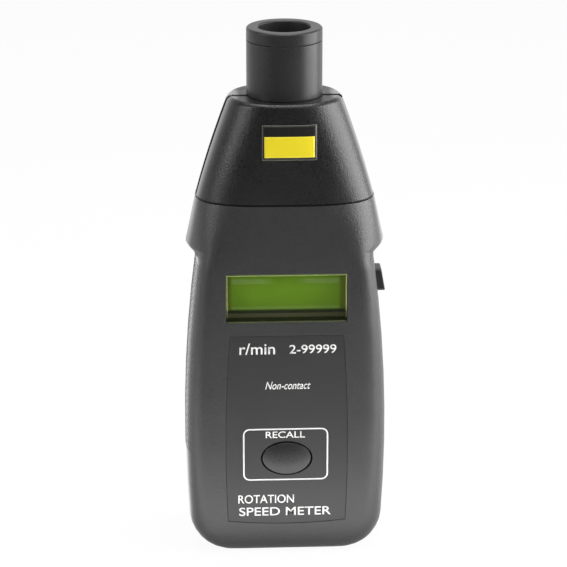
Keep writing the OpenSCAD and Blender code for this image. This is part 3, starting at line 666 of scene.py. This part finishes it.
# %% Cut the cross into the screw heads
def cross_cutter(places, reach, arm, depth):
    cutter = bmesh.new()
    for place in places:
        cross = bmesh.new()
        bmesh.ops.create_grid(cross, x_segments=3, y_segments=3, size=1.5)
        corners = [f for f in cross.faces if min(abs(v) for v in f.calc_center_median()[:2]) > 0.5]
        bmesh.ops.delete(cross, geom=corners, context="FACES")
        for vert in cross.verts:
            vert.co.x = math.copysign(reach if abs(vert.co.x) > 1 else arm, vert.co.x)
            vert.co.y = math.copysign(reach if abs(vert.co.y) > 1 else arm, vert.co.y)
        grown = bmesh.ops.extrude_face_region(cross, geom=cross.faces[:])["geom"]
        tip = [item for item in grown if isinstance(item, bmesh.types.BMVert)]
        bmesh.ops.scale(cross, vec=(0.62, 0.62, 1), verts=tip)
        bmesh.ops.translate(cross, vec=(0, 0, -depth), verts=tip)
        bmesh.ops.translate(cross, vec=(0, 0, 0.2 * MM), verts=[v for v in cross.verts if v not in tip])
        bmesh.ops.transform(cross, matrix=Matrix.Translation(place) @ upright.inverted(), verts=cross.verts)
        bmesh.ops.recalc_face_normals(cross, faces=cross.faces)
        part = bpy.data.meshes.new("cross")
        cross.to_mesh(part)
        cross.free()
        cutter.from_mesh(part)
    return cutter


def recessed_screws(node, places):
    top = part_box(node)[1].y
    bm = merged(node)
    blank = bpy.data.meshes.new(node + "_blank")
    bm.to_mesh(blank)
    bm.free()
    tool = bpy.data.meshes.new(node + "_tool")
    cutter = cross_cutter([Vector((x * MM, top, z * MM)) for x, z in places], 1.5 * MM, 0.35 * MM, 1.1 * MM)
    cutter.to_mesh(tool)
    cutter.free()
    holders = [bpy.data.objects.new(mesh.name, mesh) for mesh in (blank, tool)]
    for holder in holders:
        bpy.context.collection.objects.link(holder)
    cut = holders[0].modifiers.new("cross", "BOOLEAN")
    cut.object = holders[1]
    cut.solver = "EXACT"
    graph = bpy.context.evaluated_depsgraph_get()
    finished = bpy.data.meshes.new_from_object(holders[0].evaluated_get(graph))
    for holder in holders:
        bpy.data.objects.remove(holder)
    bm = bmesh.new()
    bm.from_mesh(finished)
    piece = shown(node + "_recessed", bm, steel, "case", [node])
    soften(piece, 0.15 * MM, 40)


recessed_screws("case_screws", [(side * 26, z) for side in (-1, 1) for z in (82, 118)])
recessed_screws("head_screws", [(side * 17, 148) for side in (-1, 1)])

# %% [markdown]
# ## What is inside
# With the door open the cells and their contacts show, and the rest is seen only when the part is
# taken apart. Those solids keep their CAD form and get the finish of their material: a green board
# with copper tracks under its mask, black moulded parts, rubber strips and sleeved cells.

# %% Board, sleeves and small parts
def circuit_board(name):
    finish = new_finish(name, {"IOR": 1.5})
    place = finish.place()
    tracks = finish.node("ShaderNodeTexBrick", {"offset": 0.5}, {"Vector": finish.node(
        "ShaderNodeMapping", None, {"Vector": place, "Rotation": (math.radians(90), 0, 0)}), "Scale": 90,
        "Mortar Size": 0.012}, 1)
    weave = finish.noise(0.4 * MM, 2)
    mask = finish.mix(paint(20, 84, 44), paint(30, 104, 58), weave)
    finish.feed("Base Color", finish.mix(mask, paint(62, 134, 70), tracks))
    finish.feed("Roughness", weave * 0.2 + 0.3)
    finish.bump(tracks, 0.03 * MM)
    return finish.owner


def sleeved_cell(name, turned_over):
    finish = new_finish(name, {"IOR": 1.5})
    _, _, height = finish.axes()
    share = (height - 17.2 * MM) * (1 / (50.5 * MM))
    along = 1 - share if turned_over else share
    wrinkles = finish.noise(1.2 * MM, 3)
    sleeve_colour = finish.mix(paint(46, 74, 96), paint(54, 84, 108), wrinkles)
    band = finish.mix(sleeve_colour, paint(196, 190, 176), along.rise(0.66, 0.665))
    ends = along.rise(0.955, 0.96) + (1 - along.rise(0.012, 0.016))
    finish.feed("Base Color", finish.mix(band, paint(190, 190, 192), ends))
    finish.feed("Metallic", ends)
    finish.feed("Roughness", wrinkles * 0.15 + 0.25)
    return finish.owner


pale_plastic = moulded_plastic("pale_plastic", paint(206, 205, 198), paint(220, 219, 212), 0.45, 0.01 * MM)
black_moulding = moulded_plastic("black_moulding", grey(30), grey(40), 0.45, 0.015 * MM)
strip_rubber = moulded_plastic("strip_rubber", paint(196, 120, 128), paint(214, 140, 146), 0.6, 0.02 * MM)
board_mask = circuit_board("circuit_board")
for node in ("main_board", "sensor_board"):
    dress(node, board_mask)
for number in (1, 2, 3, 4):
    dress(f"battery_cell_{number}", sleeved_cell(f"cell_sleeve_{number}", number % 2 == 0))
for node in ("display_holder", "memory_plunger", "measure_plunger"):
    dress(node, pale_plastic)
for node in ("memory_switch", "measure_switch", "processor_chip", "photo_sensor", "optics_holder"):
    dress(node, black_moulding)
for node in ("lower_contacts", "upper_contacts", "timing_crystal", "board_screws", "optics_screws"):
    dress(node, steel)
dress("contact_strips", strip_rubber)
dress("laser_module", brass)
dress("capacitor", metal("capacitor_can", paint(70, 84, 128), paint(52, 64, 104), 0.35))

# %% [markdown]
# ## Floor and light
# The photograph is a product shot on white: a soft box on the right, a weaker one on the left, light
# coming back from the table, and a dark room in front. The floor is pale and shows white to the camera,
# the world is bright behind and dim in front, and five lamps stand for the boxes, the light from above
# and from the front, and the glow of the table.

# %% Lay the floor
floor_paint = new_finish("pale_floor", {"Roughness": 0.8})
sight = [floor_paint.node("ShaderNodeLightPath", output=kind)
         for kind in ("Is Camera Ray", "Is Transmission Ray", "Is Glossy Ray")]
_, floor_y, _ = floor_paint.axes()
near = floor_y.rise(-0.28, -0.1)
floor_paint.feed("Base Color", floor_paint.mix((0.1, 0.1, 0.1, 1), (0.86, 0.86, 0.86, 1), near))
white = floor_paint.node("ShaderNodeEmission", None, {"Color": (1, 1, 1, 1), "Strength": 1})
beyond = floor_y.rise(0, 0.08)
# painted reflection: in reflections the floor glows white near the object and behind it, beyond what the
# lamps give it
seen = sight[0] * 0.95 + sight[1] * 0.92 + sight[2] * (near * 0.6 + beyond * 0.32)
shade = Signal(floor_paint, floor_paint.shader.outputs[0])
surface = floor_paint.node("ShaderNodeMixShader", None, {0: seen, 1: shade, 2: white})
floor_paint.links.new(surface.socket, floor_paint.nodes["Material Output"].inputs["Surface"])
ground = bmesh.new()
bmesh.ops.create_grid(ground, x_segments=1, y_segments=1, size=4)
floor_mesh = bpy.data.meshes.new("floor")
ground.to_mesh(floor_mesh)
ground.free()
floor_mesh.materials.append(floor_paint.owner)
floor = bpy.data.objects.new("floor", floor_mesh)
bpy.context.collection.objects.link(floor)
print("floor reaches", round(floor.dimensions.x, 1), "m")

# %% Light the studio
bpy.context.scene.view_settings.view_transform = "Standard"
bpy.context.scene.world = bpy.data.worlds.new("studio")
studio = Finish(bpy.context.scene.world)
direction = studio.node("ShaderNodeTexCoord", output="Generated")
_, depth_way, up_way = [studio.node("ShaderNodeSeparateXYZ", None, {0: direction}, axis) for axis in "XYZ"]
behind = depth_way.rise(-0.1, 0.7) * (1 - up_way.rise(0.25, 0.7))
camera_sight = studio.node("ShaderNodeLightPath", output="Is Camera Ray")
level = camera_sight + (1 - camera_sight) * (behind * 0.85 + 0.08)
studio.links.new(level.socket, studio.nodes["Background"].inputs["Strength"])
studio.nodes["Background"].inputs["Color"].default_value = (1, 1, 1, 1)


def soft_box(name, place, size, power, target=aim):
    lamp = bpy.data.lights.new(name, "AREA")
    lamp.shape = "RECTANGLE"
    lamp.size, lamp.size_y = size
    lamp.energy = power
    box = bpy.data.objects.new(name, lamp)
    box.location = place
    box.rotation_euler = (Vector(place) - Vector(target)).to_track_quat("Z", "Y").to_euler()
    box.visible_camera = False
    bpy.context.collection.objects.link(box)
    print(name, "gives", power, "W")


soft_box("right_box", (0.45, -0.03, 0.22), (0.46, 0.42), 3.7)
soft_box("left_box", (-0.52, -0.25, 0.3), (0.24, 0.3), 1.1)
soft_box("front_box", (0.1, -0.75, 0.95), (0.6, 0.4), 1.9)
soft_box("overhead_box", (0, 0.05, 1), (0.7, 0.7), 8)
soft_box("table_box", (0, -0.05, 0.003), (0.4, 0.04), 0.1, (0, -0.05, 1))
